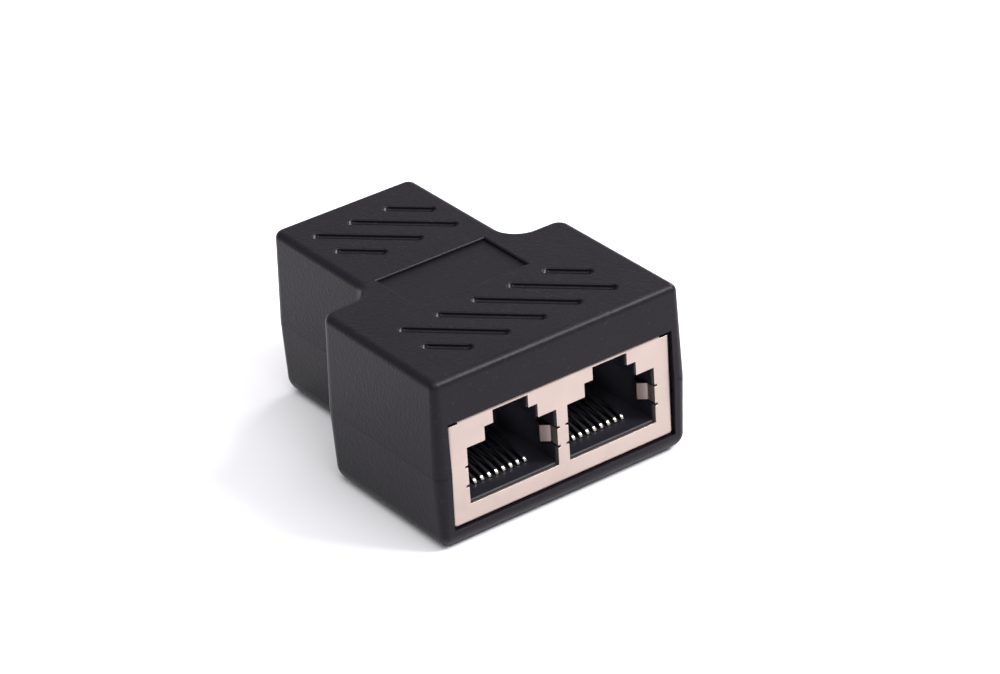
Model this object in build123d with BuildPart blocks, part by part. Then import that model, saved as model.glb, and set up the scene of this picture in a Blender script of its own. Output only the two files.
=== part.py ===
from build123d import *
import os

# Network splitter: two ports side by side in a wide front block, one port in a narrow rear block.
# Two moulded half shells hold a ganged front jack, a single rear jack and the board that joins them.
# Sizes are in millimetres. X runs to the right, Y from the front ports to the rear port, Z upwards.
# The origin lies under the middle of the part, on the surface that it stands on.

os.makedirs("parts", exist_ok=True)

# Port windows in the metal face plate, from the bottom up: plug body, latch, latch tongue.
# A web of the plate stands between the two windows of the front face.
window_width = 12.0
window_height = 7.05
latch_width = 7.1
latch_height = 1.7
tongue_width = 4.7
tongue_height = 1.55
port_web = 1.5

# Face plate and folded shield round each jack
sheet = 0.3
plate_below_window = 2.25
plate_above_window = 0.45
plate_beside_window = 2.3
flange_depth = 3.0
bend_radius = 0.35
fold_radius = 0.5
flange_notch_width = 1.3
flange_notch_height = 0.35
leg_width = 1.4
leg_spacing_from_port = 5.9

# Earth springs bent in from the upright edges of each window
spring_sheet = 0.2
spring_bottom = 4.7
spring_height = 2.1
spring_root = 1.25
spring_reach = 2.1
spring_length = 3.2
spring_push = 1.0
spring_tip_push = 0.5
slit_height = 0.3
slit_width = 0.35

# Insulating housing inside each shield
fit_gap = 0.1
port_lip = 0.1
floor_lip = 0.3
lead_in = 0.15
catch_depth = 1.6
cavity_depth = 11.4
pocket_depth = 0.45
pocket_gap = 0.2
back_space = 0.5
peg_diameter = 1.8
peg_depth = 7.0

# Contacts: formed flat wires in grooves of the housing floor
contact_count = 8
contact_pitch = 0.97
contact_width = 0.4
contact_thickness = 0.3
contact_bend = 0.3
contact_drop = 0.65
groove_gap = 0.1
nose_depth = 2.9
nose_height = 0.85
free_end_gap = 0.9
free_end_rise = 1.7
tail_reach = 1.2

# Carrier block that guides the contact tails up to the board, in two staggered rows
block_depth = 3.9
block_side = 0.9
near_row = 1.0
row_spacing = 2.5
comb_depth = 0.6
comb_height = 3.0

# Circuit board above the jacks
board_thickness = 1.2
board_gap = 0.1
board_clearance = 0.4
hole_clearance = 0.15
tail_hole_sides = 8

# Moulded shells
wall = 1.5
front_side_gap = 0.45
rear_side_gap = 0.3
floor_room = 1.0
tail_clearance = 1.5
plate_recess = 0.5
jack_spacing = 8.6
shoulder_room = 3.9
lower_height = 9.4
draft = 2.0
top_edge_radius = 0.9
bottom_edge_radius = 2.0
front_corner_radius = 1.2
rear_corner_radius = 1.6
shoulder_outer_radius = 2.0
shoulder_inner_radius = 2.6
inner_corner_radius = 0.5
window_fit = 0.15
rim_tongue = 0.75
rim_height = 0.8
rim_gap = 0.1
rib_thickness = 1.0
rib_gap = 0.05
rib_depth = 4.1
rib_pitch = 5.0
stop_height = 6.0
stop_thickness = 1.1
pin_spacing = 11.2
pin_diameter = 2.3
pin_fit = 0.1
pin_grip = 5.5
collar_diameter = 4.0
boss_diameter = 4.6

# Shapes pressed into the top
groove_width = 1.15
groove_depth = 0.5
groove_pitch = 4.9
front_groove_centre = (-0.5, -12.45)
front_groove_field = (24.1, 8.95)
rear_groove_centre = (0, 11.75)
rear_groove_field = (14.6, 9.3)
label_centre = (-0.2, -1.5)
label_width = 14.8
label_length = 8.35
label_depth = 0.4

# Sizes that follow from those above
port_pitch = window_width + port_web
plate_height = plate_below_window + window_height + latch_height + tongue_height + plate_above_window
single_plate_width = window_width + 2 * plate_beside_window
double_plate_width = single_plate_width + port_pitch
jack_depth = cavity_depth + fit_gap + block_depth + back_space + sheet
narrow_width = single_plate_width + 2 * (rear_side_gap + wall)
overall_width = double_plate_width + 2 * (front_side_gap + wall)
overall_length = 2 * (plate_recess + jack_depth) + jack_spacing
wide_length = plate_recess + jack_depth + shoulder_room + wall
plate_bottom = wall + floor_room
board_bottom = plate_bottom + plate_height + board_gap
board_top = board_bottom + board_thickness
ceiling = board_top + tail_reach + tail_clearance
overall_height = ceiling + wall
face_y = overall_length / 2 - plate_recess

# Heights and depths inside a jack, from the bottom and the front of its face plate
body_bottom = sheet + fit_gap
body_top = plate_height - sheet - fit_gap
body_back = jack_depth - sheet - back_space
port_floor = plate_below_window + floor_lip
latch_base = plate_below_window + window_height
tongue_base = latch_base + latch_height
run_height = port_floor - contact_drop
groove_floor = run_height - contact_thickness - groove_gap
block_bottom = run_height + groove_gap
block_front = cavity_depth + fit_gap
block_width = (contact_count - 1) * contact_pitch + contact_width + 2 * block_side
far_tail = body_back - near_row
near_tail = far_tail - row_spacing
tail_top = board_top + tail_reach - plate_bottom

# Each jack is drawn on its face plate: x to the right seen from outside, y up, z outwards
front_face = Plane((0, -face_y, plate_bottom), x_dir=(1, 0, 0), z_dir=(0, -1, 0))
rear_face = Plane((0, face_y, plate_bottom), x_dir=(-1, 0, 0), z_dir=(0, 1, 0))
front_ports = (-port_pitch / 2, port_pitch / 2)
rear_ports = (0,)


def side_plane(face, x):
    """Plane across a jack at x: depth into the jack to the right, height upwards."""
    return Plane(face.from_local_coords((x, 0, 0)), x_dir=-face.z_dir, z_dir=face.x_dir)


def level_plane(face, height):
    """Level plane through a jack: x as on the face plate, depth into the jack as y."""
    return Plane(face.from_local_coords((0, height, 0)), x_dir=face.x_dir, z_dir=(0, 0, 1))


def contact_places(port_x):
    """The x and the tail depth of each contact of a port, alternating between the two rows."""
    first_x = port_x - (contact_count - 1) * contact_pitch / 2
    return [(first_x + n * contact_pitch, (far_tail, near_tail)[n % 2]) for n in range(contact_count)]


def leg_places(ports):
    """The x of the two shield legs, one outside the contacts of each outer port."""
    return (ports[0] - leg_spacing_from_port, ports[-1] + leg_spacing_from_port)


def peg_places(ports):
    """The x of the housing pegs, beside the latch channels of the outer ports."""
    spacing = (latch_width + window_width) / 4 + pocket_depth
    return (ports[0] - spacing, ports[-1] + spacing)


def port_steps(x, shrink, floor, top):
    """Stepped outline of a port, as three rectangles that all stand on its floor."""
    steps = (
        (window_width, latch_base - shrink),
        (latch_width, tongue_base - shrink),
        (tongue_width, top),
    )
    with Locations((x, floor)):
        for width, step_top in steps:
            Rectangle(width - 2 * shrink, step_top - floor, align=(Align.CENTER, Align.MIN))


def make_shield(name, face, plate_width, ports):
    """Shield folded from one sheet: face plate, sides, bottom, back, top flange, legs and springs."""
    with BuildPart() as shield:
        with BuildSketch(face):
            Rectangle(plate_width, plate_height, align=(Align.CENTER, Align.MIN))
        extrude(amount=-jack_depth)
        fillet(shield.edges().filter_by(Axis.Y).sort_by(Axis.Z)[:2], fold_radius)
        fillet(shield.faces().sort_by(Axis(face.origin, face.z_dir))[-1].edges(), bend_radius)
        with BuildSketch(face.offset(-sheet)) as hollow:
            with Locations((0, plate_height / 2)):
                Rectangle(plate_width - 2 * sheet, plate_height - 2 * sheet)
            fillet(hollow.vertices().sort_by(Axis.Y)[:2], fold_radius - sheet)
        extrude(amount=2 * sheet - jack_depth, mode=Mode.SUBTRACT)

        # Open top behind the flange, and the notches that free the flange at both corners
        with BuildSketch(level_plane(face, plate_height)):
            with Locations((0, flange_depth)):
                Rectangle(plate_width, jack_depth - flange_depth, align=(Align.CENTER, Align.MIN))
        extrude(amount=-sheet, mode=Mode.SUBTRACT)
        with BuildSketch(level_plane(face, plate_height)):
            for side in (-1, 1):
                with Locations((side * (plate_width - flange_notch_width) / 2, 0)):
                    Rectangle(flange_notch_width, flange_depth, align=(Align.CENTER, Align.MIN))
        extrude(amount=-flange_notch_height, mode=Mode.SUBTRACT)

        # Windows, with the slits above and below each spring
        slit_reach = window_width + 2 * slit_width
        with BuildSketch(face):
            for x in ports:
                port_steps(x, 0, plate_below_window, tongue_base + tongue_height)
                for slit_bottom in (spring_bottom - slit_height, spring_bottom + spring_height):
                    with Locations((x, slit_bottom)):
                        Rectangle(slit_reach, slit_height, align=(Align.CENTER, Align.MIN))
        extrude(amount=-sheet, mode=Mode.SUBTRACT)

        # Springs: straight back from the window edge, in towards the plug, then out again at the tip
        edge = window_width / 2
        with BuildSketch(level_plane(face, spring_bottom)):
            for x in ports:
                for side in (-1, 1):
                    with BuildLine():
                        FilletPolyline(
                            (x + side * edge, 0),
                            (x + side * edge, spring_root),
                            (x + side * (edge - spring_push), spring_reach),
                            (x + side * (edge - spring_tip_push), spring_length),
                            radius=spring_sheet,
                        )
                        offset(amount=spring_sheet, side=Side.RIGHT if side > 0 else Side.LEFT)
                    make_face()
        extrude(amount=spring_height)

        # Legs that are soldered into the board
        with BuildSketch(face.offset(-jack_depth)):
            for x in leg_places(ports):
                with Locations((x, body_top)):
                    Rectangle(leg_width, tail_top - body_top, align=(Align.CENTER, Align.MIN))
        extrude(amount=sheet)
    shield.part.label = name
    export_step(shield.part, f"parts/{name}.step")


def make_housing(name, face, plate_width, ports):
    """Insulating housing with a stepped cavity, a latch channel and contact grooves for each port."""
    with BuildPart() as housing:
        with BuildSketch(face.offset(-sheet)):
            with Locations((0, plate_height / 2)):
                Rectangle(plate_width - 2 * body_bottom, body_top - body_bottom)
        extrude(amount=sheet - body_back)

        # Port mouths with their 45-degree lead-in, open upwards under the flange of the shield
        with BuildSketch(face.offset(-sheet)):
            for x in ports:
                port_steps(x, port_lip, port_floor, body_top)
        extrude(amount=sheet - cavity_depth, mode=Mode.SUBTRACT)
        with BuildSketch(face.offset(-sheet)):
            for x in ports:
                with Locations((x, port_floor - lead_in)):
                    Rectangle(
                        window_width - 2 * (port_lip - lead_in),
                        latch_base - port_lip - port_floor + lead_in,
                        align=(Align.CENTER, Align.MIN),
                    )
        extrude(amount=-lead_in, taper=45, mode=Mode.SUBTRACT)

        # Latch channel behind the catch, and the chamber for the carrier block
        with BuildSketch(face.offset(-catch_depth)):
            for x in ports:
                with Locations((x, latch_base - port_lip)):
                    Rectangle(latch_width - 2 * port_lip, body_top, align=(Align.CENTER, Align.MIN))
        extrude(amount=catch_depth - cavity_depth, mode=Mode.SUBTRACT)
        with BuildSketch(face.offset(-cavity_depth)):
            for x in ports:
                with Locations((x, groove_floor)):
                    Rectangle(block_width + 2 * fit_gap, body_top, align=(Align.CENTER, Align.MIN))
        extrude(amount=cavity_depth - body_back, mode=Mode.SUBTRACT)

        # Side pockets for the earth springs
        with BuildSketch(level_plane(face, spring_bottom - pocket_gap)):
            for x in ports:
                with Locations((x, sheet)):
                    Rectangle(
                        window_width + 2 * pocket_depth,
                        spring_length + pocket_gap - sheet,
                        align=(Align.CENTER, Align.MIN),
                    )
        extrude(amount=spring_height + 2 * pocket_gap, mode=Mode.SUBTRACT)

        # Comb of grooves in the floor, one for each contact
        groove = contact_width + 2 * groove_gap
        with BuildSketch(level_plane(face, groove_floor)):
            for port_x in ports:
                for x, tail in contact_places(port_x):
                    with Locations((x, nose_depth - contact_thickness - groove_gap)):
                        Rectangle(groove, cavity_depth, align=(Align.CENTER, Align.MIN))
        extrude(amount=port_floor - groove_floor, mode=Mode.SUBTRACT)

        # Pegs that stand in the board
        with BuildSketch(level_plane(face, body_top)):
            with Locations(*((x, peg_depth) for x in peg_places(ports))):
                Circle(peg_diameter / 2)
        extrude(amount=board_top - plate_bottom - body_top)
    housing.part.label = name
    export_step(housing.part, f"parts/{name}.step")


def make_contact_block(name, face, port_x):
    """Carrier block: notches from behind guide the tails, slots in front guide the free ends."""
    groove = contact_width + 2 * groove_gap
    with BuildPart() as block:
        with BuildSketch(level_plane(face, block_bottom)):
            with Locations((port_x, block_front)):
                Rectangle(block_width, body_back - block_front, align=(Align.CENTER, Align.MIN))
        extrude(amount=body_top - block_bottom)
        with BuildSketch(level_plane(face, block_bottom)):
            for x, tail in contact_places(port_x):
                with Locations((x, tail - groove_gap)):
                    Rectangle(groove, body_back - tail + groove_gap, align=(Align.CENTER, Align.MIN))
        extrude(amount=body_top - block_bottom, mode=Mode.SUBTRACT)
        with BuildSketch(level_plane(face, run_height + nose_height)):
            for x, tail in contact_places(port_x):
                with Locations((x, block_front)):
                    Rectangle(groove, comb_depth, align=(Align.CENTER, Align.MIN))
        extrude(amount=comb_height, mode=Mode.SUBTRACT)
    block.part.label = name
    export_step(block.part, f"parts/{name}.step")


def make_contact(name, face, x, tail):
    """Contact: tail down from the board, forward under the block, round the nose and up to its end."""
    with BuildPart() as contact:
        with BuildSketch(side_plane(face, x - contact_width / 2)):
            with BuildLine():
                Line((tail, tail_top), (tail, run_height))
                FilletPolyline(
                    (tail, run_height),
                    (nose_depth, run_height),
                    (nose_depth, run_height + nose_height),
                    (cavity_depth - free_end_gap, run_height + nose_height + free_end_rise),
                    radius=contact_bend,
                )
                offset(amount=contact_thickness, side=Side.RIGHT, kind=Kind.INTERSECTION)
            make_face()
        extrude(amount=contact_width)
    contact.part.label = name
    export_step(contact.part, f"parts/{name}.step")


def body_outline(inset, mode=Mode.ADD):
    """Plan of the body, drawn inside its outer wall by the inset, with an S-curve at each shoulder."""
    front = inset - overall_length / 2
    rear = overall_length / 2 - inset
    shoulder = wide_length - overall_length / 2 - inset
    wide = overall_width / 2 - inset
    narrow = narrow_width / 2 - inset
    front_corner = max(front_corner_radius - inset, inner_corner_radius)
    rear_corner = max(rear_corner_radius - inset, inner_corner_radius)
    outer = max(shoulder_outer_radius - inset, inner_corner_radius)
    inner = shoulder_inner_radius + inset
    with BuildLine() as outline:
        FilletPolyline(
            (-wide, front),
            (wide, front),
            (wide, shoulder),
            (narrow, shoulder),
            (narrow, rear),
            (-narrow, rear),
            (-narrow, shoulder),
            (-wide, shoulder),
            radius=(front_corner, front_corner, outer, inner, rear_corner, rear_corner, inner, outer),
            close=True,
        )
    make_face(outline.edges(), mode=mode)


def cut_windows(bottom, top):
    """Cut the openings for both face plates through the end walls, between two heights."""
    for face, plate_width in ((front_face, double_plate_width), (rear_face, single_plate_width)):
        with BuildSketch(level_plane(face, bottom - plate_bottom)) as opening:
            with Locations((0, -wall)):
                Rectangle(plate_width + 2 * window_fit, 3 * wall, align=(Align.CENTER, Align.MIN))
        extrude(opening.sketch, amount=top - bottom, mode=Mode.SUBTRACT)


def rib_places():
    """The y of the cross ribs, two above and below each jack, clear of the tails and the pegs."""
    first = face_y - rib_depth
    return (-first, rib_pitch - first, first - rib_pitch, first)


def rib_length(y):
    """Length of a cross rib whose ends stand in the side walls."""
    return (overall_width if y < 0 else narrow_width) - wall


def groove_places(centre, field):
    """Middle and length of each 45-degree groove in a rectangular field, spaced about its centre."""
    reach_x = (field[0] - groove_width) / 2
    reach_y = (field[1] - groove_width) / 2
    count = round((reach_x + reach_y) / groove_pitch)
    places = []
    for n in range(-count, count):
        offset = (n + 0.5) * groove_pitch
        start = max(-reach_x, offset - reach_y)
        end = min(reach_x, offset + reach_y)
        middle = (start + end) / 2
        if end - start > groove_width:
            places.append((centre[0] + middle, centre[1] + offset - middle, (end - start) * 2**0.5))
    return places


pin_places = ((-pin_spacing / 2, 0), (pin_spacing / 2, 0))
seam = Plane.XY.offset(lower_height)

# Lower shell: a tray, drawn upside down on the seam and turned over by a mirror at the seam.
# It has a rim tongue, cross ribs under the jacks, stops behind them and two bosses.
with BuildPart() as lower_shell:
    with BuildSketch(seam):
        body_outline(0)
    extrude(amount=lower_height, taper=draft)
    fillet(lower_shell.faces().sort_by(Axis.Z)[-1].edges(), bottom_edge_radius)
    with BuildSketch(seam):
        body_outline(wall)
    extrude(amount=lower_height - wall, mode=Mode.SUBTRACT)
    mirror(about=seam, mode=Mode.REPLACE)
    with BuildSketch(seam):
        body_outline(wall - rim_tongue)
        body_outline(wall, Mode.SUBTRACT)
    extrude(amount=rim_height)
    cut_windows(plate_bottom - window_fit, lower_height + rim_height)
    with BuildSketch(Plane.XY.offset(wall)):
        for y in rib_places():
            with Locations((0, y)):
                Rectangle(rib_length(y), rib_thickness)
    extrude(amount=floor_room - rib_gap)
    with BuildSketch(Plane.XY.offset(wall)):
        stop_y = (jack_spacing - stop_thickness) / 2 - rib_gap
        with Locations((0, -stop_y), (0, stop_y)):
            Rectangle(single_plate_width, stop_thickness)
    extrude(amount=stop_height - wall)
    with BuildSketch(Plane.XY.offset(wall)):
        with Locations(*pin_places):
            Circle(boss_diameter / 2)
    extrude(amount=board_bottom - rib_gap - wall)
    with BuildSketch(Plane.XY.offset(board_bottom - rib_gap)):
        with Locations(*pin_places):
            Circle(pin_diameter / 2 + pin_fit)
    extrude(amount=-pin_grip - pin_fit, mode=Mode.SUBTRACT)
lower_shell.part.label = "lower_shell"
export_step(lower_shell.part, "parts/lower_shell.step")

# Upper shell: the lid with its rim rebate, cross ribs and collared pins that hold the board down
with BuildPart() as upper_shell:
    with BuildSketch(seam):
        body_outline(0)
    extrude(amount=overall_height - lower_height, taper=draft)
    fillet(upper_shell.faces().sort_by(Axis.Z)[-1].edges(), top_edge_radius)
    with BuildSketch(seam):
        body_outline(wall)
    extrude(amount=ceiling - lower_height, mode=Mode.SUBTRACT)
    with BuildSketch(seam):
        body_outline(wall - rim_tongue - rim_gap)
    extrude(amount=rim_height + rim_gap, mode=Mode.SUBTRACT)
    cut_windows(lower_height, plate_bottom + plate_height + window_fit)
    with BuildSketch(Plane.XY.offset(board_top + rib_gap)):
        for y in rib_places():
            with Locations((0, y)):
                Rectangle(rib_length(y), rib_thickness)
        with Locations(*pin_places):
            Circle(collar_diameter / 2)
    extrude(amount=ceiling - board_top - rib_gap)
    with BuildSketch(Plane.XY.offset(ceiling)):
        with Locations(*pin_places):
            Circle(pin_diameter / 2)
    extrude(amount=board_bottom - pin_grip - ceiling)

    # Diagonal grooves at 45 degrees and the sunk label field in the top
    with BuildSketch(Plane.XY.offset(overall_height)):
        for x, y, length in (
            *groove_places(front_groove_centre, front_groove_field),
            *groove_places(rear_groove_centre, rear_groove_field),
        ):
            with Locations((x, y)):
                SlotCenterToCenter(length, groove_width, rotation=-45)
    extrude(amount=-groove_depth, mode=Mode.SUBTRACT)
    with BuildSketch(Plane.XY.offset(overall_height)):
        with Locations(label_centre):
            Rectangle(label_width, label_length)
    extrude(amount=-label_depth, mode=Mode.SUBTRACT)
upper_shell.part.label = "upper_shell"
export_step(upper_shell.part, "parts/upper_shell.step")

# Jacks: the ganged pair in front and the single one in the rear
jacks = (
    ("front", front_face, double_plate_width, front_ports),
    ("rear", rear_face, single_plate_width, rear_ports),
)
port_names = {"front": ("front_left", "front_right"), "rear": ("rear",)}
for end, face, plate_width, ports in jacks:
    make_shield(f"{end}_shield", face, plate_width, ports)
    make_housing(f"{end}_housing", face, plate_width, ports)
    for port_name, port_x in zip(port_names[end], ports):
        make_contact_block(f"{port_name}_contact_block", face, port_x)
        for number, (x, tail) in enumerate(contact_places(port_x), 1):
            make_contact(f"{port_name}_contact_{number}", face, x, tail)

# Circuit board: follows the plan of the body, with holes for tails, pegs and pins, and leg slots
with BuildPart() as circuit_board:
    with BuildSketch(Plane.XY.offset(board_bottom)):
        body_outline(wall + board_clearance)
    extrude(amount=board_thickness)
    with BuildSketch(Plane.XY.offset(board_bottom)):
        with Locations(*pin_places):
            Circle(pin_diameter / 2 + hole_clearance)
    extrude(amount=board_thickness, mode=Mode.SUBTRACT)
    for end, face, plate_width, ports in jacks:
        with BuildSketch(level_plane(face, board_bottom - plate_bottom)):
            with Locations(*((x, peg_depth) for x in peg_places(ports))):
                Circle(peg_diameter / 2 + hole_clearance)
            with Locations(*((x, jack_depth - sheet / 2) for x in leg_places(ports))):
                Rectangle(leg_width + 2 * hole_clearance, sheet + 2 * hole_clearance)
            for port_x in ports:
                with Locations(*((x, tail + contact_thickness / 2) for x, tail in contact_places(port_x))):
                    RegularPolygon(contact_width / 2 + hole_clearance, tail_hole_sides)
        extrude(amount=board_thickness, mode=Mode.SUBTRACT)
circuit_board.part.label = "circuit_board"
export_step(circuit_board.part, "parts/circuit_board.step")
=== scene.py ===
from math import cos, radians, sin

import bpy
import numpy as np
from mathutils import Matrix, Vector


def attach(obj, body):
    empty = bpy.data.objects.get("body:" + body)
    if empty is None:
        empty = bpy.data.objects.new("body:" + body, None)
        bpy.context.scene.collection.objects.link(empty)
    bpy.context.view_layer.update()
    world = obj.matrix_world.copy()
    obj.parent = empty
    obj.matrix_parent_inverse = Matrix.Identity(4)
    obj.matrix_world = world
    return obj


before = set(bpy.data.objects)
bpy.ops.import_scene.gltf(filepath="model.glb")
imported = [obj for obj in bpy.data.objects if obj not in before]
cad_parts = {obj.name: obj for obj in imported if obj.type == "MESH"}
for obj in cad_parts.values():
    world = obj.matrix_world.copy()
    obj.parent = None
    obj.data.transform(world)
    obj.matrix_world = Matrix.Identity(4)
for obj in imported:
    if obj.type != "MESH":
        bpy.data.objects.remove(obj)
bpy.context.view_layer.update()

MM = 0.001

# Camera: its direction, and the middle of the view beside the middle of the part
CAMERA_AZIMUTH = -34.585
CAMERA_ELEVATION = 29.358
CAMERA_ROLL = -3.829
CAMERA_DISTANCE = 434.6 * MM
CAMERA_ASIDE = 5.4 * MM
CAMERA_ABOVE = 1.27 * MM
CAMERA_LOOKS_AT = (0.0, 0.0, 10.5 * MM)
FOCAL_PIXELS = 3864
IMAGE_WIDTH = 1000
SENSOR_WIDTH = 36.0

# Studio: floor with a raised back, three soft boxes and an even sky
FLOOR_REACH = 1.6
COVE_RADIUS = 0.5
COVE_HEIGHT = 1.2
COVE_STEPS = 24
FLOOR_SHADE = (0.76, 0.75, 0.775, 1.0)
SKY_SHADE = (1.0, 1.0, 1.0, 1.0)
SKY_STRENGTH = 0.5

# Edge softening of the carried-over parts. A rim is an edge of a shape pressed into the top.
WELD_DISTANCE = 0.002 * MM
SOFT_ANGLE = radians(25)
FLAT_ANGLE = radians(0.5)
RIM_LEVEL = 20.4 * MM
RIM_ROUNDING = 0.18 * MM

# Distances from the middle along Y at which, in the ports, painted light on the insulator, painted shade
# on the sheet, and the contacts' metal flash with painted shade behind it change over
PAINTED_LIGHT_ENDS = 11.0 * MM, 19.0 * MM
PAINTED_SHADE_STARTS = 18.6 * MM, 20.1 * MM
FLASH_AND_SHADE_STARTS = 17.52 * MM, 17.62 * MM

# Grooves pressed into the top, as the source places them: middle and size of each group's field
TOP_LEVEL = 21.0 * MM
GROOVE_WIDTH = 1.15 * MM
GROOVE_DEPTH = 0.5 * MM
GROOVE_PITCH = 4.9 * MM
GROOVE_FIELDS = (
    ((-0.5 * MM, -12.45 * MM), (24.1 * MM, 8.95 * MM)),
    ((0.0, 11.75 * MM), (14.6 * MM, 9.3 * MM)),
)

# Lining of a groove: its clearance, the length of its end slopes, and how far they stay below the top
LINING_GAP = 0.012 * MM
LINING_RAMP = 0.62 * MM
LINING_EDGE = 0.05 * MM
LINING_CAP_POINTS = 17
LINING_SIDE_POINTS = 28
LINING_ROWS = 13


def new_material(name):
    """An empty node material with its Principled shader; returns material, nodes, links and shader."""
    material = bpy.data.materials.new(name)
    material.use_nodes = True
    tree = material.node_tree
    return material, tree.nodes, tree.links, tree.nodes["Principled BSDF"]


def group_sockets(name, inputs, outputs):
    """A shader node group with named float inputs, given as name and default, and named outputs."""
    tree = bpy.data.node_groups.new(name, "ShaderNodeTree")
    tree.interface.new_socket("Vector", in_out="INPUT", socket_type="NodeSocketVector")
    for label, value in inputs:
        socket = tree.interface.new_socket(label, in_out="INPUT", socket_type="NodeSocketFloat")
        socket.default_value = value
    for label in outputs:
        tree.interface.new_socket(label, in_out="OUTPUT", socket_type="NodeSocketFloat")
    return tree, tree.nodes.new("NodeGroupInput"), tree.nodes.new("NodeGroupOutput")


def moulded_grain_group():
    """Spark-eroded mould texture: fine noise broken up by small cells, as a height from 0 to 1."""
    tree, group_in, group_out = group_sockets(
        "Moulded grain",
        [("Grain per metre", 6000.0), ("Pits per metre", 2600.0), ("Pit share", 0.35)],
        ["Height"],
    )
    nodes, links = tree.nodes, tree.links
    grain = nodes.new("ShaderNodeTexNoise")
    grain.inputs["Detail"].default_value = 3.0
    grain.inputs["Roughness"].default_value = 0.6
    pits = nodes.new("ShaderNodeTexVoronoi")
    pits.feature = "SMOOTH_F1"
    blend = nodes.new("ShaderNodeMix")
    links.new(group_in.outputs["Vector"], grain.inputs["Vector"])
    links.new(group_in.outputs["Grain per metre"], grain.inputs["Scale"])
    links.new(group_in.outputs["Vector"], pits.inputs["Vector"])
    links.new(group_in.outputs["Pits per metre"], pits.inputs["Scale"])
    links.new(group_in.outputs["Pit share"], blend.inputs["Factor"])
    links.new(grain.outputs["Fac"], blend.inputs["A"])
    links.new(pits.outputs["Distance"], blend.inputs["B"])
    links.new(blend.outputs["Result"], group_out.inputs["Height"])
    return tree


def smudge_group():
    """Broad uneven patches, as left by handling and by the flow of the melt or the plating."""
    tree, group_in, group_out = group_sockets(
        "Smudges", [("Patches per metre", 120.0), ("Contrast", 0.5)], ["Mask"]
    )
    nodes, links = tree.nodes, tree.links
    noise = nodes.new("ShaderNodeTexNoise")
    noise.inputs["Detail"].default_value = 4.0
    noise.inputs["Distortion"].default_value = 0.6
    centre = nodes.new("ShaderNodeMath")
    centre.operation = "SUBTRACT"
    centre.inputs[1].default_value = 0.5
    scale = nodes.new("ShaderNodeMath")
    scale.operation = "MULTIPLY"
    back = nodes.new("ShaderNodeMath")
    back.operation = "ADD"
    back.use_clamp = True
    back.inputs[1].default_value = 0.5
    links.new(group_in.outputs["Vector"], noise.inputs["Vector"])
    links.new(group_in.outputs["Patches per metre"], noise.inputs["Scale"])
    links.new(noise.outputs["Fac"], centre.inputs[0])
    links.new(centre.outputs[0], scale.inputs[0])
    links.new(group_in.outputs["Contrast"], scale.inputs[1])
    links.new(scale.outputs[0], back.inputs[0])
    links.new(back.outputs[0], group_out.inputs["Mask"])
    return tree


def port_depth_group():
    """How far out of a port a point lies along Y: 0 up to the inner distance, 1 from the outer one."""
    tree, group_in, group_out = group_sockets(
        "Port depth", [("Inner", 0.0170), ("Outer", 0.0172)], ["Mask"]
    )
    nodes, links = tree.nodes, tree.links
    parts = nodes.new("ShaderNodeSeparateXYZ")
    distance = nodes.new("ShaderNodeMath")
    distance.operation = "ABSOLUTE"
    step = nodes.new("ShaderNodeMapRange")
    step.interpolation_type = "SMOOTHSTEP"
    links.new(group_in.outputs["Vector"], parts.inputs["Vector"])
    links.new(parts.outputs["Y"], distance.inputs[0])
    links.new(distance.outputs[0], step.inputs["Value"])
    links.new(group_in.outputs["Inner"], step.inputs["From Min"])
    links.new(group_in.outputs["Outer"], step.inputs["From Max"])
    links.new(step.outputs["Result"], group_out.inputs["Mask"])
    return tree


def dust_group():
    """Sparse specks: small round cells, of which only those with a high random value are kept."""
    tree, group_in, group_out = group_sockets(
        "Dust", [("Specks per metre", 1500.0), ("Speck size", 0.22)], ["Mask"]
    )
    nodes, links = tree.nodes, tree.links
    cells = nodes.new("ShaderNodeTexVoronoi")
    inside = nodes.new("ShaderNodeMath")
    inside.operation = "LESS_THAN"
    shade = nodes.new("ShaderNodeSeparateColor")
    chosen = nodes.new("ShaderNodeMath")
    chosen.operation = "GREATER_THAN"
    chosen.inputs[1].default_value = 0.72
    both = nodes.new("ShaderNodeMath")
    both.operation = "MULTIPLY"
    links.new(group_in.outputs["Vector"], cells.inputs["Vector"])
    links.new(group_in.outputs["Specks per metre"], cells.inputs["Scale"])
    links.new(cells.outputs["Distance"], inside.inputs[0])
    links.new(group_in.outputs["Speck size"], inside.inputs[1])
    links.new(cells.outputs["Color"], shade.inputs["Color"])
    links.new(shade.outputs["Red"], chosen.inputs[0])
    links.new(inside.outputs[0], both.inputs[0])
    links.new(chosen.outputs[0], both.inputs[1])
    links.new(both.outputs[0], group_out.inputs["Mask"])
    return tree


def put_group(nodes, links, tree, vector, **values):
    """Places a node group, feeds it the vector and sets its other inputs by name."""
    node = nodes.new("ShaderNodeGroup")
    node.node_tree = tree
    links.new(vector, node.inputs["Vector"])
    for label, value in values.items():
        node.inputs[label.replace("_", " ")].default_value = value
    return node


def put_range(nodes, links, source, low, high):
    """Maps a 0 to 1 value onto a range."""
    node = nodes.new("ShaderNodeMapRange")
    node.inputs["To Min"].default_value = low
    node.inputs["To Max"].default_value = high
    links.new(source, node.inputs["Value"])
    return node.outputs["Result"]


def put_mix(nodes, links, factor, first, second):
    """Mixes two colours by a 0 to 1 value."""
    node = nodes.new("ShaderNodeMix")
    node.data_type = "RGBA"
    node.inputs["A"].default_value = first
    node.inputs["B"].default_value = second
    links.new(factor, node.inputs["Factor"])
    return node.outputs["Result"]


def put_bump(nodes, links, height, shader, depth, strength=1.0):
    """Bump of a given depth in metres on the shader's normal."""
    node = nodes.new("ShaderNodeBump")
    node.inputs["Strength"].default_value = strength
    node.inputs["Distance"].default_value = depth
    links.new(height, node.inputs["Height"])
    links.new(node.outputs["Normal"], shader.inputs["Normal"])


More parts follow.
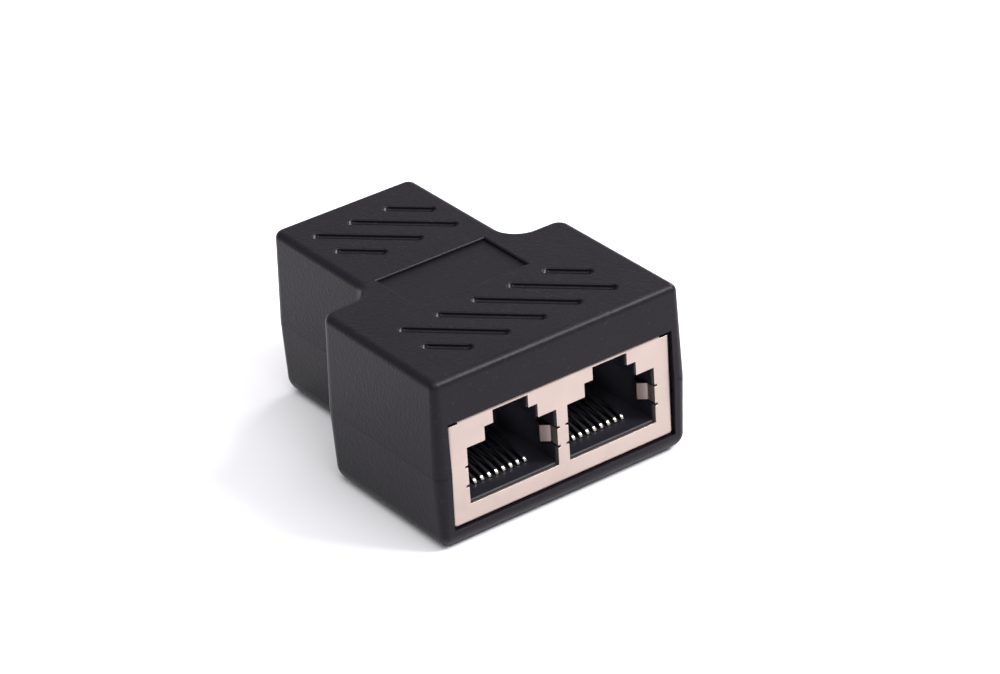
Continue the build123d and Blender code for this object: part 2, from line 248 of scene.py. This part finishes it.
def moulded_shell():
    """Moulded shell: two close shades, pale specks, uneven gloss and the grain of the mould."""
    material, nodes, links, shader = new_material("shell_plastic")
    where = nodes.new("ShaderNodeTexCoord").outputs["Object"]
    patches = put_group(nodes, links, SMUDGES, where, Patches_per_metre=90.0, Contrast=1.2)
    specks = put_group(nodes, links, DUST, where, Specks_per_metre=1700.0, Speck_size=0.2)
    grain = put_group(nodes, links, MOULDED_GRAIN, where, Grain_per_metre=3400.0, Pits_per_metre=2200.0)
    dark, light = (0.0048, 0.0038, 0.0062, 1), (0.0068, 0.0056, 0.0086, 1)
    tone = put_mix(nodes, links, patches.outputs["Mask"], dark, light)
    dusty = nodes.new("ShaderNodeMix")
    dusty.data_type = "RGBA"
    dusty.inputs["B"].default_value = (0.014, 0.012, 0.016, 1)
    links.new(specks.outputs["Mask"], dusty.inputs["Factor"])
    links.new(tone, dusty.inputs["A"])
    links.new(dusty.outputs["Result"], shader.inputs["Base Color"])
    gloss = put_range(nodes, links, patches.outputs["Mask"], 0.36, 0.44)
    links.new(gloss, shader.inputs["Roughness"])
    put_bump(nodes, links, grain.outputs["Height"], shader, 0.045 * MM)
    shader.inputs["Specular IOR Level"].default_value = 0.15
    shader.inputs["Specular Tint"].default_value = (0.97, 0.91, 1.0, 1)
    return material


def port_insulator():
    """Smooth navy-black insulator; its deeper walls are painted paler than the port's mouth, as painted
    light.
    """
    material, nodes, links, shader = new_material("port_insulator")
    where = nodes.new("ShaderNodeTexCoord").outputs["Object"]
    patches = put_group(nodes, links, SMUDGES, where, Patches_per_metre=400.0, Contrast=1.2)
    mouth = put_group(nodes, links, PORT_DEPTH, where, Inner=PAINTED_LIGHT_ENDS[0], Outer=PAINTED_LIGHT_ENDS[1])
    grain = put_group(nodes, links, MOULDED_GRAIN, where, Grain_per_metre=6000.0, Pits_per_metre=4000.0)
    dark, light = (0.0100, 0.0096, 0.0135, 1), (0.0135, 0.0130, 0.0180, 1)
    near = put_mix(nodes, links, patches.outputs["Mask"], dark, light)
    tone = nodes.new("ShaderNodeMix")
    tone.data_type = "RGBA"
    # Painted light: the paler tone of the deep walls stands in for light that reaches into the port.
    tone.inputs["A"].default_value = (0.076, 0.072, 0.093, 1)
    links.new(near, tone.inputs["B"])
    links.new(mouth.outputs["Mask"], tone.inputs["Factor"])
    links.new(tone.outputs["Result"], shader.inputs["Base Color"])
    gloss = put_range(nodes, links, patches.outputs["Mask"], 0.40, 0.50)
    links.new(gloss, shader.inputs["Roughness"])
    put_bump(nodes, links, grain.outputs["Height"], shader, 0.006 * MM)
    shader.inputs["Specular IOR Level"].default_value = 0.18
    return material


def nickel_sheet():
    """Nickel-plated rolled sheet: warm with a fine rolling grain in front, painted darker inside as
    painted shade.
    """
    material, nodes, links, shader = new_material("nickel_sheet")
    where = nodes.new("ShaderNodeTexCoord").outputs["Object"]
    stretch = nodes.new("ShaderNodeMapping")
    stretch.inputs["Scale"].default_value = (0.06, 1.0, 1.0)
    links.new(where, stretch.inputs["Vector"])
    rolling = nodes.new("ShaderNodeTexNoise")
    rolling.inputs["Scale"].default_value = 9000.0
    rolling.inputs["Detail"].default_value = 2.0
    links.new(stretch.outputs["Vector"], rolling.inputs["Vector"])
    patches = put_group(nodes, links, SMUDGES, where, Patches_per_metre=260.0, Contrast=1.4)
    front = put_group(nodes, links, PORT_DEPTH, where, Inner=PAINTED_SHADE_STARTS[0], Outer=PAINTED_SHADE_STARTS[1])
    dark, light = (0.440, 0.362, 0.328, 1), (0.535, 0.442, 0.402, 1)
    plated = put_mix(nodes, links, patches.outputs["Mask"], dark, light)
    tone = nodes.new("ShaderNodeMix")
    tone.data_type = "RGBA"
    # Painted shade: the darker tone of the sheet inside the port stands in for the shade there.
    tone.inputs["A"].default_value = (0.150, 0.118, 0.112, 1)
    links.new(plated, tone.inputs["B"])
    links.new(front.outputs["Mask"], tone.inputs["Factor"])
    links.new(tone.outputs["Result"], shader.inputs["Base Color"])
    gloss = put_range(nodes, links, patches.outputs["Mask"], 0.42, 0.52)
    links.new(gloss, shader.inputs["Roughness"])
    put_bump(nodes, links, rolling.outputs["Fac"], shader, 0.0006 * MM)
    shader.inputs["Metallic"].default_value = 1.0
    return material


def contact_wire():
    """Contact wire: bright metal flash on the nose that meets the plug; behind it a dark, non-metallic
    painted shade.
    """
    material, nodes, links, shader = new_material("contact_wire")
    where = nodes.new("ShaderNodeTexCoord").outputs["Object"]
    patches = put_group(nodes, links, SMUDGES, where, Patches_per_metre=900.0, Contrast=1.5)
    nose = put_group(nodes, links, PORT_DEPTH, where, Inner=FLASH_AND_SHADE_STARTS[0], Outer=FLASH_AND_SHADE_STARTS[1])
    mask = patches.outputs["Mask"]
    flash = put_mix(nodes, links, mask, (0.78, 0.74, 0.66, 1), (0.88, 0.84, 0.76, 1))
    # Painted shade: behind the nose the wire gets a near-black tone that stands in for the shade in the
    # port.
    painted_shade = put_mix(nodes, links, mask, (0.012, 0.0116, 0.0152, 1), (0.018, 0.0173, 0.0224, 1))
    tone = nodes.new("ShaderNodeMix")
    tone.data_type = "RGBA"
    links.new(painted_shade, tone.inputs["A"])
    links.new(flash, tone.inputs["B"])
    links.new(nose.outputs["Mask"], tone.inputs["Factor"])
    links.new(tone.outputs["Result"], shader.inputs["Base Color"])
    gloss = put_range(nodes, links, nose.outputs["Mask"], 0.65, 0.26)
    links.new(gloss, shader.inputs["Roughness"])
    # Behind the nose the wire is not metallic, as part of its painted shade.
    links.new(nose.outputs["Mask"], shader.inputs["Metallic"])
    shader.inputs["Specular IOR Level"].default_value = 0.12
    return material


def solder_mask():
    """Green solder mask over copper tracks, which show as paler lines."""
    material, nodes, links, shader = new_material("solder_mask")
    where = nodes.new("ShaderNodeTexCoord").outputs["Object"]
    tracks = nodes.new("ShaderNodeTexWave")
    tracks.inputs["Scale"].default_value = 320.0
    tracks.inputs["Distortion"].default_value = 1.5
    tracks.inputs["Detail"].default_value = 0.0
    links.new(where, tracks.inputs["Vector"])
    edge = nodes.new("ShaderNodeMath")
    edge.operation = "GREATER_THAN"
    edge.inputs[1].default_value = 0.6
    links.new(tracks.outputs["Fac"], edge.inputs[0])
    tone = put_mix(nodes, links, edge.outputs[0], (0.010, 0.095, 0.035, 1), (0.03, 0.19, 0.075, 1))
    links.new(tone, shader.inputs["Base Color"])
    patches = put_group(nodes, links, SMUDGES, where, Patches_per_metre=300.0, Contrast=1.0)
    gloss = put_range(nodes, links, patches.outputs["Mask"], 0.2, 0.32)
    links.new(gloss, shader.inputs["Roughness"])
    put_bump(nodes, links, edge.outputs[0], shader, 0.02 * MM, 0.4)
    return material


def rim_weight_group():
    """Weights for the bevel: 1 on the outer edges of the shapes pressed into the top, 0 elsewhere."""
    tree = bpy.data.node_groups.new("Rim weights", "GeometryNodeTree")
    tree.interface.new_socket("Geometry", in_out="INPUT", socket_type="NodeSocketGeometry")
    tree.interface.new_socket("Geometry", in_out="OUTPUT", socket_type="NodeSocketGeometry")
    nodes, links = tree.nodes, tree.links
    group_in = nodes.new("NodeGroupInput")
    group_out = nodes.new("NodeGroupOutput")
    angle = nodes.new("GeometryNodeInputMeshEdgeAngle")
    sharp = nodes.new("ShaderNodeMath")
    sharp.operation = "GREATER_THAN"
    sharp.inputs[1].default_value = SOFT_ANGLE
    place = nodes.new("GeometryNodeInputPosition")
    parts = nodes.new("ShaderNodeSeparateXYZ")
    high = nodes.new("ShaderNodeMath")
    high.operation = "GREATER_THAN"
    high.inputs[1].default_value = RIM_LEVEL
    weight = nodes.new("ShaderNodeMath")
    weight.operation = "MULTIPLY"
    store = nodes.new("GeometryNodeStoreNamedAttribute")
    store.data_type = "FLOAT"
    store.domain = "EDGE"
    store.inputs["Name"].default_value = "bevel_weight_edge"
    links.new(angle.outputs["Signed Angle"], sharp.inputs[0])
    links.new(place.outputs["Position"], parts.inputs["Vector"])
    links.new(parts.outputs["Z"], high.inputs[0])
    links.new(sharp.outputs[0], weight.inputs[0])
    links.new(high.outputs[0], weight.inputs[1])
    links.new(group_in.outputs["Geometry"], store.inputs["Geometry"])
    links.new(weight.outputs[0], store.inputs["Value"])
    links.new(store.outputs["Geometry"], group_out.inputs["Geometry"])
    return tree


def finish_part(name, material):
    """Gives a carried-over part its material and joins its loose triangles."""
    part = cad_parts[name]
    for slot in part.material_slots:
        slot.material = material
    weld = part.modifiers.new("weld", "WELD")
    weld.merge_threshold = WELD_DISTANCE
    return part


def dress(nodes_named, material, softness, segments):
    """Gives carried-over parts a material and rounds their sharp edges by the softness in metres."""
    for name in nodes_named:
        part = finish_part(name, material)
        soften = part.modifiers.new("soft edges", "BEVEL")
        soften.width = softness
        soften.segments = segments
        soften.limit_method = "ANGLE"
        soften.angle_limit = SOFT_ANGLE
        soften.harden_normals = True
        soften.use_clamp_overlap = False


def dress_lid(name, material):
    """The upper shell: its flat faces merged into a few, and the rims of its grooves and field rounded."""
    part = finish_part(name, material)
    flat = part.modifiers.new("flat faces", "DECIMATE")
    flat.decimate_type = "DISSOLVE"
    flat.angle_limit = FLAT_ANGLE
    rims = part.modifiers.new("rim weights", "NODES")
    rims.node_group = rim_weight_group()
    soften = part.modifiers.new("soft rims", "BEVEL")
    soften.width = RIM_ROUNDING
    soften.segments = 3
    soften.limit_method = "WEIGHT"
    soften.use_clamp_overlap = False
    even = part.modifiers.new("even shading", "WEIGHTED_NORMAL")
    even.keep_sharp = True
    even.weight = 50


def groove_places():
    """Middle and straight length of each 45-degree groove, spaced evenly about its field's middle.

    A groove runs as far as the field lets it, so those at a field's corners are shorter.
    """
    places = []
    for (centre_x, centre_y), (size_x, size_y) in GROOVE_FIELDS:
        reach_x = (size_x - GROOVE_WIDTH) / 2
        reach_y = (size_y - GROOVE_WIDTH) / 2
        count = round((reach_x + reach_y) / GROOVE_PITCH)
        offsets = (np.arange(-count, count) + 0.5) * GROOVE_PITCH
        starts = np.maximum(-reach_x, offsets - reach_y)
        ends = np.minimum(reach_x, offsets + reach_y)
        middles = (starts + ends) / 2
        for start, end, middle, offset in zip(starts, ends, middles, offsets):
            if end - start > GROOVE_WIDTH:
                places.append((centre_x + middle, centre_y + offset - middle, (end - start) * 2**0.5))
    return places


def groove_lining(x, y, length):
    """Scooped bottom of one groove, as a function of the turn round its outline and the way inwards.

    The outline is a slot: two straight sides joined by half circles. Each point lies between the
    outline and the groove's middle line. Its height is the larger of two curves: a quarter circle
    that meets the wall, and at both ends a smooth slope that climbs from the floor to the rim.
    The whole is turned by 45 degrees and moved to its place.
    """
    radius = GROOVE_WIDTH / 2 - LINING_GAP
    turn = np.linspace(-np.pi / 2, np.pi / 2, LINING_CAP_POINTS)
    cap_x = length / 2 + radius * np.cos(turn)
    cap_y = radius * np.sin(turn)
    side = np.linspace(1, -1, LINING_SIDE_POINTS + 2)[1:-1] * length / 2
    edge = np.full(LINING_SIDE_POINTS, radius)
    outline_x = np.concatenate((cap_x, side, -cap_x, -side))
    outline_y = np.concatenate((cap_y, edge, -cap_y, -edge))
    inwards = np.linspace(0, 1, LINING_ROWS)[:, None]
    spine_x = np.clip(outline_x, -length / 2, length / 2)
    along = outline_x + (spine_x - outline_x) * inwards
    across = outline_y * (1 - inwards)
    to_wall = np.clip(inwards * radius / RIM_ROUNDING, 0, 1)
    rise = GROOVE_DEPTH - LINING_EDGE - LINING_GAP
    wall = RIM_ROUNDING * (1 - np.sqrt(1 - (1 - to_wall) ** 2))
    to_end = np.clip((length / 2 + radius - np.abs(along)) / LINING_RAMP, 0, 1)
    slope = rise * (0.5 + 0.5 * np.cos(np.pi * to_end))
    height = TOP_LEVEL - GROOVE_DEPTH + LINING_GAP + np.maximum(np.minimum(wall, rise), slope)
    turned_x = x + (along + across) * 0.5**0.5
    turned_y = y + (across - along) * 0.5**0.5
    return np.stack((turned_x, turned_y, height), axis=-1)


def add_groove_linings(material):
    """One piece that lines every groove, each lining closed round its outline."""
    points = [groove_lining(*place) for place in groove_places()]
    rows, around = points[0].shape[:2]
    row, column = np.meshgrid(np.arange(rows - 1), np.arange(around), indexing="ij")
    here = row * around + column
    following = row * around + (column + 1) % around
    quads = np.stack((here, following, following + around, here + around), axis=-1).reshape(-1, 4)
    faces = np.concatenate([quads + n * rows * around for n in range(len(points))])
    mesh = bpy.data.meshes.new("groove_linings")
    mesh.from_pydata(np.concatenate([grid.reshape(-1, 3) for grid in points]).tolist(), [], faces.tolist())
    mesh.shade_smooth()
    mesh.materials.append(material)
    linings = bpy.data.objects.new("groove_linings", mesh)
    bpy.context.scene.collection.objects.link(linings)
    weld = linings.modifiers.new("weld", "WELD")
    weld.merge_threshold = WELD_DISTANCE
    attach(linings, "root")


def add_floor():
    """Floor and raised back in one sweep: flat, then a quarter circle, then upright."""
    turn = np.linspace(0, np.pi / 2, COVE_STEPS)
    curve = FLOOR_REACH + COVE_RADIUS * np.sin(turn)
    along = np.concatenate(([-FLOOR_REACH], curve, [FLOOR_REACH + COVE_RADIUS]))
    height = np.concatenate(([0.0], COVE_RADIUS * (1 - np.cos(turn)), [COVE_HEIGHT]))
    across = np.array([-2 * FLOOR_REACH, 2 * FLOOR_REACH])
    facing = radians(-CAMERA_AZIMUTH)
    x, y = np.meshgrid(across, along)
    z = np.repeat(height[:, None], 2, axis=1)
    points = np.stack((x * cos(facing) + y * sin(facing), y * cos(facing) - x * sin(facing), z), axis=-1)
    rows = np.arange(len(along) - 1)
    faces = np.stack((2 * rows, 2 * rows + 1, 2 * rows + 3, 2 * rows + 2), axis=1)
    mesh = bpy.data.meshes.new("floor")
    mesh.from_pydata(points.reshape(-1, 3).tolist(), [], faces.tolist())
    mesh.shade_smooth()
    floor = bpy.data.objects.new("floor", mesh)
    bpy.context.scene.collection.objects.link(floor)
    material, _, _, shader = new_material("pale_floor")
    shader.inputs["Base Color"].default_value = FLOOR_SHADE
    shader.inputs["Roughness"].default_value = 0.7
    mesh.materials.append(material)


def add_soft_box(name, azimuth, elevation, distance, size, power):
    """A square area light that faces the part, placed by direction and distance."""
    light = bpy.data.lights.new(name, "AREA")
    light.shape = "SQUARE"
    light.size = size
    light.energy = power
    lamp = bpy.data.objects.new(name, light)
    towards = Vector((
        sin(radians(azimuth)) * cos(radians(elevation)),
        -cos(radians(azimuth)) * cos(radians(elevation)),
        sin(radians(elevation)),
    ))
    lamp.location = Vector(CAMERA_LOOKS_AT) + distance * towards
    lamp.rotation_euler = towards.to_track_quat("Z", "Y").to_euler()
    bpy.context.scene.collection.objects.link(lamp)


def add_sky():
    """Even pale sky all round."""
    world = bpy.data.worlds.new("studio")
    world.use_nodes = True
    background = world.node_tree.nodes["Background"]
    background.inputs["Color"].default_value = SKY_SHADE
    background.inputs["Strength"].default_value = SKY_STRENGTH
    bpy.context.scene.world = world


def add_camera():
    """Camera at the photograph's direction, rolled, with the part a little beside its middle."""
    azimuth = radians(CAMERA_AZIMUTH)
    elevation = radians(CAMERA_ELEVATION)
    roll = radians(CAMERA_ROLL)
    back = Vector((sin(azimuth) * cos(elevation), -cos(azimuth) * cos(elevation), sin(elevation)))
    level_right = Vector((0, 0, 1)).cross(back).normalized()
    level_up = back.cross(level_right)
    right = cos(roll) * level_right + sin(roll) * level_up
    up = cos(roll) * level_up - sin(roll) * level_right
    place = Vector(CAMERA_LOOKS_AT) + CAMERA_ASIDE * right + CAMERA_ABOVE * up + CAMERA_DISTANCE * back
    data = bpy.data.cameras.new("camera")
    data.sensor_width = SENSOR_WIDTH
    data.lens = FOCAL_PIXELS / IMAGE_WIDTH * SENSOR_WIDTH
    data.clip_start = 10 * MM
    data.clip_end = 20.0
    camera = bpy.data.objects.new("camera", data)
    turn = Matrix((right, up, back)).transposed().to_4x4()
    camera.matrix_world = Matrix.Translation(place) @ turn
    bpy.context.scene.collection.objects.link(camera)
    bpy.context.scene.camera = camera


add_camera()
add_floor()
add_sky()
add_soft_box("key", azimuth=45, elevation=46, distance=0.9, size=0.28, power=8.5)
add_soft_box("overhead", azimuth=-25, elevation=70, distance=1.0, size=1.1, power=12.0)
add_soft_box("side", azimuth=110, elevation=20, distance=0.8, size=0.3, power=4.0)

MOULDED_GRAIN = moulded_grain_group()
SMUDGES = smudge_group()
PORT_DEPTH = port_depth_group()
DUST = dust_group()

shell_plastic = moulded_shell()
insulator_plastic = port_insulator()

port_names = ("front_left", "front_right", "rear")
contact_blocks = [f"{port}_contact_block" for port in port_names]
contacts = [f"{port}_contact_{number}" for port in port_names for number in range(1, 9)]

dress_lid("upper_shell", shell_plastic)
add_groove_linings(shell_plastic)
dress(["lower_shell"], shell_plastic, softness=0.06 * MM, segments=2)
dress(["front_housing", "rear_housing"], insulator_plastic, softness=0.04 * MM, segments=1)
dress(contact_blocks, insulator_plastic, softness=0.04 * MM, segments=1)
dress(["front_shield", "rear_shield"], nickel_sheet(), softness=0.05 * MM, segments=2)
dress(contacts, contact_wire(), softness=0.05 * MM, segments=2)
dress(["circuit_board"], solder_mask(), softness=0.04 * MM, segments=1)

bpy.context.scene.view_settings.view_transform = "Standard"
